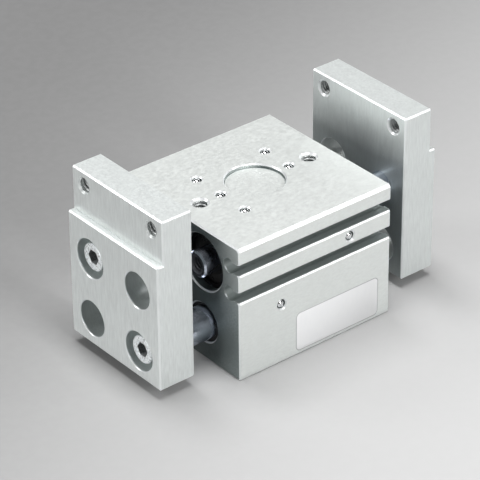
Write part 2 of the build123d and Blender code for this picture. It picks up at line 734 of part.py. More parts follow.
def make_guide_rod(side):
    """Guide rod with a rack cut into the flank that faces the pinion."""
    pitch = math.pi * MODULE
    slope = math.tan(math.radians(PRESSURE_ANGLE))
    tip_y = -PITCH_RADIUS + MODULE
    root_y = -PITCH_RADIUS - DEDENDUM * MODULE
    half_space = (pitch / 2 + BACKLASH / 2) / 2
    # Half the length over which the pinion reaches past the tooth tips, and past the round rod
    mesh = math.sqrt(TIP_RADIUS**2 - tip_y**2)
    near_y = ROD_OFFSET - GUIDE_ROD_DIAMETER / 2
    clear = math.sqrt(TIP_RADIUS**2 - near_y**2) + END_GAP
    first = math.ceil((-CLOSING_TRAVEL - mesh - pitch / 2) / pitch)
    last = math.floor((OPENING_TRAVEL + mesh + pitch / 2) / pitch)
    # With an odd number of teeth the pinion meets the front rack half a pitch later
    phase = pitch / 2 if side == 1 and PINION_TEETH % 2 else 0
    plane = Plane(origin=(0, 0, GUIDE_ROW_Z), x_dir=(side, 0, 0), z_dir=(0, 0, 1))
    with BuildPart() as rod:
        turn(jaw_axis(side, -ROD_OFFSET, GUIDE_ROW_Z), rod_outline(GUIDE_ROD_DIAMETER))
        with BuildSketch(plane):
            flat_length = STROKE + 2 * clear
            with Locations((PISTON_REST_X, tip_y)):
                Rectangle(flat_length, GUIDE_ROD_DIAMETER, align=(Align.CENTER, Align.MIN))
            for tooth in range(first, last + 1):
                x = tooth * pitch + phase
                at_tip = half_space + MODULE * slope
                at_root = half_space - DEDENDUM * MODULE * slope
                Polygon(
                    (x - at_tip, tip_y),
                    (x - at_root, root_y),
                    (x + at_root, root_y),
                    (x + at_tip, tip_y),
                    align=None,
                )
        extrude(amount=GUIDE_ROD_DIAMETER, both=True, mode=Mode.SUBTRACT)
    return rod


def make_piston(side):
    """Piston with a magnet groove between two seal grooves and a nose at each end."""
    rod = PISTON_ROD_DIAMETER / 2 + SEATED
    skirt = CYLINDER_BORE / 2 - 2 * RUNNING
    half = PISTON_LENGTH / 2
    magnet = MAGNET_WIDTH / 2
    seal_start = magnet + PISTON_LAND
    seal_end = seal_start + PISTON_SEAL_WIDTH
    one_end = [
        (half - BUMPER_PROUD, rod),
        (half - BUMPER_PROUD, PISTON_NOSE_RADIUS),
        (PISTON_HEAD_HALF, PISTON_NOSE_RADIUS),
        (PISTON_HEAD_HALF, skirt),
        (seal_end, skirt),
        (seal_end, PISTON_SEAL_BORE / 2),
        (seal_start, PISTON_SEAL_BORE / 2),
        (seal_start, skirt),
        (magnet, skirt),
        (magnet, MAGNET_BORE / 2),
    ]
    other_end = [(-x, r) for x, r in reversed(one_end)]
    outline = [(x + PISTON_REST_X, r) for x, r in one_end + other_end]
    with BuildPart() as piston:
        turn(jaw_axis(side, ROD_OFFSET, PISTON_ROW_Z), outline)
    return piston


def make_piston_rings(side, start, width, inner, outer, both_ends=True):
    """Rings on the piston: one about its middle, or one towards each end."""
    with BuildPart() as rings:
        outline = ring(start + PISTON_REST_X, start + width + PISTON_REST_X, inner, outer)
        turn(jaw_axis(side, ROD_OFFSET, PISTON_ROW_Z), outline)
        if both_ends:
            outline = ring(PISTON_REST_X - start - width, PISTON_REST_X - start, inner, outer)
            turn(jaw_axis(side, ROD_OFFSET, PISTON_ROW_Z), outline)
    return rings


def make_finger_screws(side):
    """The two cap screws that hold a plate to its rods."""
    floor = -PLATE_OUTER_X + COUNTERBORE_DEPTH
    head = floor - SCREW_HEAD_HEIGHT
    head_radius = SCREW_HEAD_DIAMETER / 2
    thread = TAP_DRILL / 2 - SEATED
    outline = [
        (head, 0),
        (head, head_radius - EDGE_BREAK),
        (head + EDGE_BREAK, head_radius),
        (floor, head_radius),
        (floor, SCREW_DIAMETER / 2),
        (-SEAT_FLOOR, SCREW_DIAMETER / 2),
        (-SEAT_FLOOR, thread),
        (-SEAT_FLOOR + SCREW_GRIP, thread),
        (-SEAT_FLOOR + SCREW_GRIP, 0),
    ]
    with BuildPart() as screws:
        for y, z in ((ROD_OFFSET, PISTON_ROW_Z), (-ROD_OFFSET, GUIDE_ROW_Z)):
            turn(jaw_axis(side, y, z), outline)
            socket = Plane(
                origin=(side * head, side * y, z), x_dir=(0, 1, 0), z_dir=(side, 0, 0)
            )
            with BuildSketch(socket):
                RegularPolygon(SCREW_HEX / 2, 6, major_radius=False)
            extrude(amount=SCREW_HEX_DEPTH, mode=Mode.SUBTRACT)
    return screws


def main():
    os.makedirs("parts", exist_ok=True)
    finish(make_housing(), "housing")
    for side_name, side in SIDES.items():
        for row_name, row_y in ROWS.items():
            where = f"{row_name}_{side_name}"
            finish(make_rod_cover(side, row_y), f"rod_cover_{where}")
            finish(make_cover_bush(side, row_y), f"cover_bush_{where}")
            finish(make_rod_seal(side, row_y), f"rod_seal_{where}")
            finish(make_cover_o_ring(side, row_y), f"cover_o_ring_{where}")
            finish(make_guide_bush(side, row_y), f"guide_bush_{where}")
    finish(make_cover_circlips(), "cover_circlips")
    finish(make_drive_pinion(), "drive_pinion")
    finish(make_pinion_bush(), "pinion_bush")
    finish(make_pinion_pin(), "pinion_pin")
    finish(make_pinion_washer(), "pinion_washer")
    finish(make_pinion_cover(), "pinion_cover")
    finish(make_pinion_cover_circlip(), "pinion_cover_circlip")
    finish(balls(TOP_FACE, TOP_PLUGS), "top_ball_plugs")
    finish(balls(FRONT_FACE, FRONT_PLUGS), "front_ball_plugs")
    bore = CYLINDER_BORE / 2 - RUNNING
    seal_start = MAGNET_WIDTH / 2 + PISTON_LAND + SEATED
    bumper = PISTON_NOSE_RADIUS + SEATED
    for side_name, side in SIDES.items():
        finish(make_finger_plate(side), f"{side_name}_finger_plate")
        finish(make_finger_screws(side), f"{side_name}_finger_screws")
        finish(make_piston_rod(side), f"{side_name}_piston_rod")
        finish(make_guide_rod(side), f"{side_name}_guide_rod")
        finish(make_piston(side), f"{side_name}_piston")
        seals = make_piston_rings(
            side, seal_start, PISTON_SEAL_WIDTH - 2 * SEATED, PISTON_SEAL_BORE / 2 + SEATED, bore
        )
        finish(seals, f"{side_name}_piston_seals")
        magnet = make_piston_rings(
            side,
            SEATED - MAGNET_WIDTH / 2,
            MAGNET_WIDTH - 2 * SEATED,
            MAGNET_BORE / 2 + SEATED,
            bore - 2 * RUNNING,
            both_ends=False,
        )
        finish(magnet, f"{side_name}_piston_magnet")
        bumpers = make_piston_rings(
            side, PISTON_HEAD_HALF, PISTON_NOSE_LENGTH, bumper, bumper + BUMPER_WALL
        )
        finish(bumpers, f"{side_name}_piston_bumpers")


if __name__ == "__main__":
    main()
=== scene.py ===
"""Looks of a pneumatic parallel gripper: metal finishes, screw threads, cap screws and label.

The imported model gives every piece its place. Lengths are in metres, in the model's own frame:
X is the jaw travel, -Y the front with the sensor grooves, and +Z up.
"""

import json
import math

import bmesh
import bpy
from bpy.props import FloatProperty, FloatVectorProperty, IntProperty, PointerProperty
from mathutils import Matrix, Vector


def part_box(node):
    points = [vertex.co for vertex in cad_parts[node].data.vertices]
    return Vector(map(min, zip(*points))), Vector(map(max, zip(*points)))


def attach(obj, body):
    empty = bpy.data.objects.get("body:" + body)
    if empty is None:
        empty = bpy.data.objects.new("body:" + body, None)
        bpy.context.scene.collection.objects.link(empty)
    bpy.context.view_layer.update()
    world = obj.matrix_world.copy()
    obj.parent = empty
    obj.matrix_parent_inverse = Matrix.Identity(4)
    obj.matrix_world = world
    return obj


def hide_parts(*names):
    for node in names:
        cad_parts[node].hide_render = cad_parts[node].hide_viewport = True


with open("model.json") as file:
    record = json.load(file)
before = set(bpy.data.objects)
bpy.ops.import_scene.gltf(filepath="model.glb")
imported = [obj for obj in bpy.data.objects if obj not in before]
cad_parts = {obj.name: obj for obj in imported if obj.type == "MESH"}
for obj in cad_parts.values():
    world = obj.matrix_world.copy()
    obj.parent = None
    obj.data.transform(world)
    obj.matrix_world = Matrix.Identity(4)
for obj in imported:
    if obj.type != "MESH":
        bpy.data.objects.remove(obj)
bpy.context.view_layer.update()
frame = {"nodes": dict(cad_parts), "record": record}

bl_info = {
    "name": "Parallel gripper looks",
    "version": (1, 0, 0),
    "blender": (4, 5, 0),
    "location": "3D View > Sidebar > Gripper",
    "description": "Finishes, threads, cap screws, label and studio for a parallel gripper",
    "category": "Object",
}

MM = 0.001
AXIS_X, AXIS_Y, AXIS_Z = 0, 1, 2

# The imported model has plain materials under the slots' own names, so these carry a prefix
FINISH = "finish_"

# Height of the jaw plates' step over the body's top face
STEP_RISE = 0.4 * MM


def middle(node):
    """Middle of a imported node's box at rest."""
    low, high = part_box(node)
    return (low + high) / 2


def mount(name):
    """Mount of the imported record, by name."""
    return next(found for found in frame["record"]["mounts"] if found["name"] == name)


# Rod axes: their distance from the middle along Y, and the heights of the two rows
ROD_OFFSET = middle("left_piston_rod").y
ROD_ROWS = [middle(node).z for node in ("left_piston_rod", "left_guide_rod")]

# Cells per metre in the noise of the finishes
BRUSHED_GRAIN = 1900
FINE_SPECK = 1500
LATHE_RINGS = 5200

# Width over which a mask fades out
MASK_EDGE = 0.05 * MM

# How far the shading looks for other surfaces, in the gap and in corners, and how far the
# light reaches into a bore
GAP_REACH = 45 * MM
CORNER_REACH = 4 * MM
BORE_REACH = 12 * MM

# Bright bare metal on the broken edges, partly a painted highlight
BROKEN_EDGE = (0.97, 0.99, 1.0)
BROKEN_EDGE_REACH = 0.42 * MM
BROKEN_EDGE_ROUGHNESS = 0.3

# Powers that turn a grey shade slightly cool: red, green and blue
COOL_SHADE = (1.09, 1.0, 0.99)

# Angle above which an edge of an added piece stays sharp
SHARP_ANGLE = math.radians(35)

# Cap screws: head (radius, height), shank (radius, grip, thread's radius, length)
HEAD = (4.24 * MM, 4.98 * MM)
SHANK = (2.48 * MM, 4.4 * MM, 2.06 * MM, 12.3 * MM)
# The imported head's height, which says where the seat lies
HEAD_HEIGHT_PACKED = 5.0 * MM
# Seat's inner edge as a share of the head's radius, chamfer under the head, plain bands beside
# the knurling, chamfer of the socket (width, depth) and drill point under it (radius, depth)
SEAT_INNER = 0.62
HEAD_CHAMFER = 0.2 * MM
KNURL_MARGIN = 0.35 * MM
SOCKET_CHAMFER = (0.22 * MM, 0.2 * MM)
DRILL_POINT = (0.15 * MM, 0.7 * MM)
# One turn of the shank's thread: height along it and depth below the thread's radius
SHANK_THREAD = ((0.2 * MM, 0), (0.3 * MM, 0), (0.7 * MM, 0.3 * MM))

# Threads in tapped holes: mount, body, slot, depth
THREADS = (
    ("top_m5_pair", "body", "body_aluminium", 6.6 * MM),
    ("base_m5_pattern", "body", "body_aluminium", 7.6 * MM),
    ("left_finger_m5_pair", "left_jaw", "finger_aluminium", 8.9 * MM),
    ("right_finger_m5_pair", "right_jaw", "finger_aluminium", 8.9 * MM),
    ("air_port_left", "body", "body_aluminium", 5.6 * MM),
    ("air_port_right", "body", "body_aluminium", 5.6 * MM),
)
THREAD_START = 0.55 * MM
# How far a thread's foot stands in the hole's wall
THREAD_ROOT = 0.01 * MM
ROD_THREAD_RADIUS = 2.11 * MM
ROD_THREAD_LENGTH = 8.4 * MM
ROD_THREAD_START = 0.6 * MM

# Thread ridge, in pitches: half width at its foot and crest, and turns of run-out at each end
RIDGE_FOOT = 0.47
RIDGE_CREST = 0.09
RIDGE_RUN_OUT = 0.4

# Label: share of its thickness with square sides, inset of its outer face, width of the painted
# shadow round its rim
LABEL_SQUARE = 0.6
LABEL_INSET = 0.03 * MM
LABEL_RIM_SHADOW = 0.3 * MM

# How deep, and how far up and down from the piston rods' row, the sensor grooves can reach
GROOVE_REACH = 7 * MM

# Soft boxes: name, place, width and height, and the studio's property that holds the power
LAMPS = (
    ("key_box", (0, 0.05, 1.0), (0.3, 0.9), "key_power"),
    ("front_box", (0.02, -1.1, 0.5), (0.26, 0.6), "front_power"),
    ("side_box", (-1.1, 0, 0.17), (0.6, 0.3), "side_power"),
    ("back_box", (-0.65, 0.6, 0.7), (0.3, 0.3), "back_power"),
    ("edge_box", (0.6, -0.58, 0.73), (0.22, 0.22), "edge_power"),
)
LAMPS_AIM = (0, 0, 0.03)

# Floor: radius, drop below the base, direction in which it pales (to the camera's right, away),
# and where along that direction the ramp starts and ends
FLOOR_RADIUS = 2.5
FLOOR_DROP = 0.02 * MM
FLOOR_FALL = (0.885, -0.465)
FLOOR_RAMP = (-0.148, 0.112)

# Colours of the room's light at the horizon and overhead
ROOM_LOW = (0.5, 0.52, 0.54, 1)
ROOM_HIGH = (1.0, 1.0, 1.0, 1)


def size(name, default, note):
    """Length property with a default in metres."""
    return FloatProperty(
        name=name, description=note, default=default, unit="LENGTH", precision=5
    )


def colour(name, default, note):
    """Linear colour property."""
    return FloatVectorProperty(
        name=name, description=note, default=default, subtype="COLOR", size=3, min=0, max=1
    )


class GripperSizes(bpy.types.PropertyGroup):
    """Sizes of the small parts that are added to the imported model."""

    thread_pitch: size("Thread pitch", 0.8 * MM, "Pitch of the M5 threads")
    thread_depth: size("Thread depth", 0.34 * MM, "Height of the thread ridges")
    thread_steps: IntProperty(
        name="Thread steps", description="Sections in one turn of a thread", default=40, min=8
    )
    head_knurls: IntProperty(
        name="Head knurls", description="Ridges round a cap screw's head", default=36, min=8
    )
    knurl_depth: size("Knurl depth", 0.11 * MM, "Depth of the head's knurling")
    head_rounding: size("Head rounding", 0.45 * MM, "Radius of the head's top edge")
    socket_across: size("Socket across flats", 4.0 * MM, "Hexagon socket, across flats")
    socket_depth: size("Socket depth", 2.4 * MM, "Depth of the hexagon socket")
    label_left: size("Label left", -7.3 * MM, "Left end of the blank label along X")
    label_right: size("Label right", 23.2 * MM, "Right end of the blank label along X")
    label_bottom: size("Label bottom", 1.1 * MM, "Lower edge of the blank label")
    label_top: size("Label top", 13.8 * MM, "Upper edge of the blank label")
    label_corner: size("Label corner", 1.6 * MM, "Corner radius of the blank label")
    label_thickness: size("Label thickness", 0.03 * MM, "Thickness of the label's film")


class GripperColours(bpy.types.PropertyGroup):
    """Colours of the finishes."""

    body: colour("Body", (0.84, 0.87, 0.85), "Clear anodised body")
    fingers: colour("Jaw plates", (0.78, 0.815, 0.805), "Clear anodised jaw plates")
    covers: colour("Turned parts", (0.62, 0.63, 0.64), "Turned aluminium")
    black: colour("Black anodise", (0.028, 0.027, 0.027), "Rod covers")
    bronze: colour("Bush bronze", (0.03, 0.029, 0.028), "Sintered bushes, dark with oil")
    rubber: colour("Rubber", (0.018, 0.018, 0.02), "Seals and bumpers")
    spring: colour("Spring steel", (0.03, 0.03, 0.031), "Phosphated circlips")
    ground: colour("Ground steel", (0.5, 0.5, 0.51), "Pin and washer")
    rod: colour("Rod steel", (0.64, 0.69, 0.78), "Hardened, ground and polished rods")
    ball: colour("Ball steel", (0.75, 0.76, 0.77), "Polished balls")
    zinc: colour("Zinc", (0.95, 0.99, 1.0), "Bright zinc on the screws")
    magnet: colour("Magnet", (0.1, 0.085, 0.075), "Bonded magnet")
    pinion: colour("Pinion steel", (0.36, 0.36, 0.37), "Case-hardened pinion")
    label: colour("Label", (0.97, 0.98, 0.99), "Blank label film")
    thread: colour("Threads", (0.5, 0.515, 0.515), "Cut threads, bare and oily")


class GripperStudio(bpy.types.PropertyGroup):
    """Camera, floor and lamps."""

    azimuth: FloatProperty(
        name="Azimuth",
        description="Camera's turn about Z, from looking along +Y",
        default=math.radians(-39.042),
        subtype="ANGLE",
    )
    elevation: FloatProperty(
        name="Elevation",
        description="Camera's height above the horizon",
        default=math.radians(31.63),
        subtype="ANGLE",
    )
    roll: FloatProperty(
        name="Roll",
        description="Camera's turn about its own axis",
        default=math.radians(-0.523),
        subtype="ANGLE",
    )
    distance: size("Distance", 779.1 * MM, "Camera's distance from the point it looks at")
    aim: FloatVectorProperty(
        name="Aim",
        description="Point that the camera looks at",
        default=(-4.9 * MM, 0.84 * MM, 24.05 * MM),
        subtype="XYZ",
        unit="LENGTH",
    )
    lens: FloatProperty(
        name="Lens", description="Focal length in millimetres", default=206.89, min=1
    )
    sky: FloatProperty(name="Sky", description="Strength of the room's light", default=0.06)
    key_power: FloatProperty(
        name="Key power", description="Power of the lamp over the gripper", default=10.8
    )
    front_power: FloatProperty(
        name="Front power", description="Power of the lamp before the front", default=8.2
    )
    side_power: FloatProperty(
        name="Side power", description="Power of the lamp at the left", default=5.5
    )
    back_power: FloatProperty(
        name="Back power", description="Power of the lamp behind at the upper left", default=2.2
    )
    edge_power: FloatProperty(
        name="Edge power", description="Power of the small lamp for the edges", default=0.7
    )
    floor_dark: colour("Floor, far left", (0.22, 0.22, 0.22), "Darker end of the floor")
    floor_pale: colour("Floor, near right", (0.54, 0.54, 0.54), "Paler end of the floor")
    floor_bounce: colour("Floor's bounce", (0.2, 0.2, 0.2), "Floor as the gripper sees it")


class Surface:
    """Node graph of one material, with short helpers for its nodes."""

    def __init__(self, name):
        self.material = bpy.data.materials.new(FINISH + name)
        self.material.use_nodes = True
        self.tree = self.material.node_tree
        self.shader = self.tree.nodes["Principled BSDF"]
        self.coordinates = self.tree.nodes.new("ShaderNodeTexCoord")

    def node(self, kind, **settings):
        """New node with its settings."""
        made = self.tree.nodes.new(kind)
        for key, value in settings.items():
            setattr(made, key, value)
        return made

    def link(self, source, target):
        """Link from an output to an input."""
        self.tree.links.new(source, target)

    def math(self, operation, first, second=0.0):
        """Result of one sum on numbers or sockets."""
        made = self.node("ShaderNodeMath", operation=operation)
        for socket, value in zip(made.inputs, (first, second)):
            self.feed(socket, value)
        return made.outputs[0]

    def feed(self, socket, value):
        """Link a socket, or set its value."""
        if isinstance(value, bpy.types.NodeSocket):
            self.link(value, socket)
        else:
            socket.default_value = value

    def noise(self, stretch, detail=4.0):
        """Noise in object space, with its number of cells per metre along X, Y and Z."""
        mapping = self.node("ShaderNodeMapping")
        mapping.inputs["Scale"].default_value = stretch
        self.link(self.coordinates.outputs["Object"], mapping.inputs["Vector"])
        made = self.node("ShaderNodeTexNoise")
        self.link(mapping.outputs[0], made.inputs["Vector"])
        made.inputs["Scale"].default_value = 1.0
        made.inputs["Detail"].default_value = detail
        made.inputs["Roughness"].default_value = 0.55
        return made.outputs["Fac"]

    def remap(self, value, low, high, new_low, new_high):
        """Value taken from one range to another, and held within it."""
        made = self.node("ShaderNodeMapRange", clamp=True)
        for socket, number in zip(made.inputs, (value, low, high, new_low, new_high)):
            self.feed(socket, number)
        return made.outputs[0]

    def blend(self, factor, first, second):
        """Mix of two colours or sockets."""
        made = self.node("ShaderNodeMix", data_type="RGBA", clamp_factor=True)
        self.feed(made.inputs["Factor"], factor)
        for socket, value in ((made.inputs[6], first), (made.inputs[7], second)):
            self.feed(socket, value if isinstance(value, bpy.types.NodeSocket) else (*value, 1))
        return made.outputs[2]

    def mix_value(self, factor, first, second):
        """Mix of two numbers or sockets."""
        made = self.node("ShaderNodeMix", data_type="FLOAT", clamp_factor=True)
        for socket, value in zip((made.inputs[0], made.inputs[2], made.inputs[3]),
                                 (factor, first, second)):
            self.feed(socket, value)
        return made.outputs[0]

    def along(self, output, axis):
        """One axis of the normal or the place, in object space."""
        split = self.node("ShaderNodeSeparateXYZ")
        self.link(self.coordinates.outputs[output], split.inputs[0])
        return split.outputs[axis]

    def facing(self, axis):
        """How squarely a face looks along an axis, from 0 to 1."""
        return self.math("ABSOLUTE", self.along("Normal", axis))

    def place(self, axis):
        """Coordinate along an axis."""
        return self.along("Object", axis)

    def off_middle(self, axis):
        """Distance from the middle plane of an axis."""
        return self.math("ABSOLUTE", self.place(axis))

    def broken_edge_highlights(self, planes):
        """Mask of the broken edges, painted bright as bare metal and as a highlight: slanting
        faces that lie at one of the outer planes.

        Each plane is (axis, place) and counts on both sides of zero. Upright edges count less:
        the painted highlight is stronger on edges that face up.
        """
        square = self.math("MAXIMUM", self.facing(AXIS_X), self.facing(AXIS_Y))
        square = self.math("MAXIMUM", square, self.facing(AXIS_Z))
        slanting = self.remap(square, 0.8, 0.9, 1.0, 0.0)
        level = self.remap(self.facing(AXIS_Z), 0.2, 0.4, 0.4, 1.0)
        slanting = self.math("MULTIPLY", slanting, level)
        nearest = 1.0
        for axis, place in planes:
            away = self.math("SUBTRACT", self.off_middle(axis), place)
            nearest = self.math("MINIMUM", self.math("ABSOLUTE", away), nearest)
        end = BROKEN_EDGE_REACH + 0.08 * MM
        close = self.remap(nearest, BROKEN_EDGE_REACH, end, 1.0, 0.0)
        return self.math("MULTIPLY", slanting, close)

    def shelter(self, reach, closed, opened, low):
        """How open a point lies: low where most is closed off nearby, 1 in the open."""
        occlusion = self.node("ShaderNodeAmbientOcclusion", samples=4)
        occlusion.inputs["Distance"].default_value = reach
        return self.remap(occlusion.outputs["AO"], closed, opened, low, 1.0)

    def between(self, axis, low, high):
        """Mask of the points between two places along an axis."""
        place = self.place(axis)
        above = self.remap(place, low - MASK_EDGE, low + MASK_EDGE, 0.0, 1.0)
        below = self.remap(place, high - MASK_EDGE, high + MASK_EDGE, 1.0, 0.0)
        return self.math("MULTIPLY", above, below)

    def grooves(self):
        """Mask of the walls inside the two sensor grooves, behind their broken edges, where
        shade is painted.
        """
        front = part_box("housing")[0].y
        row = ROD_ROWS[0]
        depth = self.between(AXIS_Y, front + 0.45 * MM, front + GROOVE_REACH)
        height = self.between(AXIS_Z, row - GROOVE_REACH, row + GROOVE_REACH)
        inside = self.math("MULTIPLY", depth, height)
        walls = self.remap(self.facing(AXIS_X), 0.6, 0.8, 1.0, 0.0)
        return self.math("MULTIPLY", inside, walls)

    def from_rods(self):
        """Distance from the nearest rod axis."""
        beside = self.math("SUBTRACT", self.off_middle(AXIS_Y), ROD_OFFSET)
        beside = self.math("MULTIPLY", beside, beside)
        nearest = 1.0
        for row in ROD_ROWS:
            above = self.math("SUBTRACT", self.place(AXIS_Z), row)
            square = self.math("ADD", beside, self.math("MULTIPLY", above, above))
            nearest = self.math("MINIMUM", square, nearest)
        return self.math("SQRT", nearest)

    def recess_wall(self):
        """Mask of the wall of the round recess in the top face, where shade is painted."""
        recess = mount("top_locating_recess")
        square = 0.0
        for axis in (AXIS_X, AXIS_Y):
            away = self.math("SUBTRACT", self.place(axis), recess["pos_m"][axis])
            square = self.math("ADD", self.math("MULTIPLY", away, away), square)
        radius = recess["dims"]["r_mm"] * MM
        distance = self.math("SQRT", square)
        inner = self.remap(distance, radius - 0.3 * MM, radius - 0.2 * MM, 0.0, 1.0)
        outer = self.remap(distance, radius + 0.02 * MM, radius + 0.06 * MM, 1.0, 0.0)
        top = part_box("housing")[1].z
        deep = self.between(AXIS_Z, top - 2 * MM, top - 0.2 * MM)
        return self.math("MULTIPLY", self.math("MULTIPLY", inner, outer), deep)

    def openness(
        self, ends, gap_x, gap_low, corner_low, bore_radius, bore_inner, bore_mouth, milled
    ):
        """How much light comes to a point, painted into its colour: below 1 as shade, above 1
        as light.

        It is less on the X faces in the gap between body and plates, where X is below gap_x,
        and in corners. In bores round the rods it runs from bore_inner, where X is below gap_x,
        to bore_mouth further out, so a bore_inner above 1 is painted light. The walls of milled
        grooves and of the recess get half.
        """
        gap = self.math("MULTIPLY", ends, self.between(AXIS_X, -gap_x, gap_x))
        far = self.mix_value(gap, 1.0, self.shelter(GAP_REACH, 0.4, 0.85, gap_low))
        near = self.shelter(CORNER_REACH, 0.1, 0.5, corner_low)
        if milled:
            for wall in (self.grooves(), self.recess_wall()):
                near = self.mix_value(wall, near, 0.5)
        bore = self.remap(self.from_rods(), bore_radius, bore_radius + MASK_EDGE, 1.0, 0.0)
        bore = self.math("SUBTRACT", bore, ends)
        mouth = gap_x + BORE_REACH
        bore_lit = self.remap(self.off_middle(AXIS_X), gap_x, mouth, bore_inner, bore_mouth)
        return self.math("MULTIPLY", far, self.mix_value(bore, near, bore_lit))

    def shaded(self, tone, shade):
        """Colour darkened by a shade from 0 to 1, slightly cool."""
        cool = self.node("ShaderNodeCombineXYZ")
        for channel, power in enumerate(COOL_SHADE):
            self.link(self.math("POWER", shade, power), cool.inputs[channel])
        made = self.node("ShaderNodeVectorMath", operation="MULTIPLY")
        self.link(tone, made.inputs[0])
        self.link(cool.outputs[0], made.inputs[1])
        return made.outputs[0]

    def edges(self, radius):
        """Mask of the edges: 1 on a sharp edge, 0 on a flat face, and the rounded normal."""
        bevel = self.node("ShaderNodeBevel", samples=6)
        bevel.inputs["Radius"].default_value = radius
        geometry = self.node("ShaderNodeNewGeometry")
        dot = self.node("ShaderNodeVectorMath", operation="DOT_PRODUCT")
        self.link(bevel.outputs[0], dot.inputs[0])
        self.link(geometry.outputs["Normal"], dot.inputs[1])
        turned = self.math("SUBTRACT", 1.0, dot.outputs["Value"])
        return self.remap(turned, 0.01, 0.2, 0.0, 1.0), bevel.outputs[0]

    def bump(self, height, strength, distance, normal=None):
        """Fine relief from a height, over the shape's own normal or another one."""
        made = self.node("ShaderNodeBump")
        made.inputs["Strength"].default_value = strength
        made.inputs["Distance"].default_value = distance
        self.link(height, made.inputs["Height"])
        if normal is not None:
            self.link(normal, made.inputs["Normal"])
        self.link(made.outputs[0], self.shader.inputs["Normal"])

    def plain(self, metallic=0.0, **sockets):
        """Values that are the same all over, on the shader's own sockets."""
        self.shader.inputs["Metallic"].default_value = metallic
        for name, value in sockets.items():
            self.shader.inputs[name.replace("_", " ")].default_value = value


def tinted(rgb, factor):
    """A colour made lighter or darker, kept within 0 and 1."""
    return tuple(max(0.0, min(1.0, channel * factor)) for channel in rgb)


def brushed(
    name, rgb, lengthwise, on_ends, coarse, contrast, metallic, rough, planes, **painted_shade_settings
):
    """Anodised aluminium whose grain runs along one axis, and along another on the X faces.

    The planes are those of its broken edges. The other keyword values go to Surface.openness,
    whose result darkens the colour as painted shade.
    """
    surface = Surface(name)
    grain, end_grain = (
        surface.noise([coarse if axis == run else BRUSHED_GRAIN for axis in range(3)])
        for run in (lengthwise, on_ends)
    )
    ends = surface.remap(surface.facing(AXIS_X), 0.6, 0.8, 0.0, 1.0)
    grain = surface.mix_value(ends, grain, end_grain)
    cloud = surface.noise((70, 70, 70), detail=3.0)
    speck = surface.noise((FINE_SPECK, FINE_SPECK, FINE_SPECK), detail=2.0)
    tone = surface.blend(grain, tinted(rgb, 1 - contrast), tinted(rgb, 1 + contrast))
    tone = surface.blend(surface.remap(cloud, 0.35, 0.65, 0.0, 0.28), tone, tinted(rgb, 0.95))
    tone = surface.blend(surface.remap(speck, 0.62, 0.75, 0.0, 0.2), tone, tinted(rgb, 1.15))
    # Painted shade: the colour is darkened and tinted cool where Surface.openness gives less
    # light, and lightened where it gives more
    tone = surface.shaded(tone, surface.openness(ends, **painted_shade_settings))
    # Broken edges painted bright: partly bare metal, partly painted highlight
    bright = surface.broken_edge_highlights(planes)
    tone = surface.blend(bright, tone, BROKEN_EDGE)
    surface.link(tone, surface.shader.inputs["Base Color"])
    worn = surface.remap(grain, 0.3, 0.7, rough - 0.07, rough + 0.09)
    worn = surface.mix_value(bright, worn, BROKEN_EDGE_ROUGHNESS)
    surface.link(worn, surface.shader.inputs["Roughness"])
    height = surface.math("ADD", grain, surface.math("MULTIPLY", speck, 0.5))
    surface.bump(height, 0.2, 0.02 * MM)
    surface.plain(metallic=metallic)
    return surface.material


def turned(name, rgb, axis, rough, metallic=1.0):
    """Turned or ground metal, with fine rings round an axis."""
    surface = Surface(name)
    stretch = [60, 60, 60]
    stretch[axis] = LATHE_RINGS
    lathe = surface.noise(stretch, detail=5.0)
    smear = surface.noise((240, 240, 240), detail=3.0)
    tone = surface.blend(lathe, tinted(rgb, 0.88), tinted(rgb, 1.12))
    edge, rounded = surface.edges(0.2 * MM)
    tone = surface.blend(edge, tone, tinted(rgb, 1.35))
    surface.link(tone, surface.shader.inputs["Base Color"])
    worn = surface.remap(smear, 0.3, 0.7, rough * 0.8, rough * 1.25)
    surface.link(worn, surface.shader.inputs["Roughness"])
    surface.bump(lathe, 0.15, 0.01 * MM, rounded)
    surface.plain(metallic=metallic)
    return surface.material


def polished_rod(name, rgb, axis, rough):
    """Ground rod: bright and finely ringed outside, dull and painted dark as shade on its ends,
    and painted nearly black as shade in its holes.
    """
    surface = Surface(name)
    stretch = [900, 900, 900]
    stretch[axis] = LATHE_RINGS
    rings = surface.noise(stretch, detail=3.0)
    smear = surface.noise((160, 160, 160), detail=3.0)
    tone = surface.blend(rings, tinted(rgb, 0.94), tinted(rgb, 1.05))
    # Painted shade: the rod's end faces are painted far darker than its sides, and are rougher
    # too
    ends = surface.remap(surface.facing(axis), 0.8, 0.95, 0.0, 1.0)
    tone = surface.blend(ends, tone, tinted(rgb, 0.14))
    # Painted shade: inside the threaded hole of each rod end the colour is painted nearly
    # black, and not metallic, so it shows no glints
    inside = surface.remap(surface.from_rods(), 2.66 * MM, 2.74 * MM, 1.0, 0.0)
    tone = surface.blend(inside, tone, tinted(rgb, 0.06))
    surface.link(tone, surface.shader.inputs["Base Color"])
    worn = surface.remap(smear, 0.3, 0.7, rough * 0.8, rough * 1.25)
    worn = surface.mix_value(ends, worn, 0.4)
    surface.link(surface.mix_value(inside, worn, 0.5), surface.shader.inputs["Roughness"])
    surface.bump(rings, 0.05, 0.01 * MM)
    surface.plain()
    surface.link(surface.math("SUBTRACT", 1.0, inside), surface.shader.inputs["Metallic"])
    return surface.material


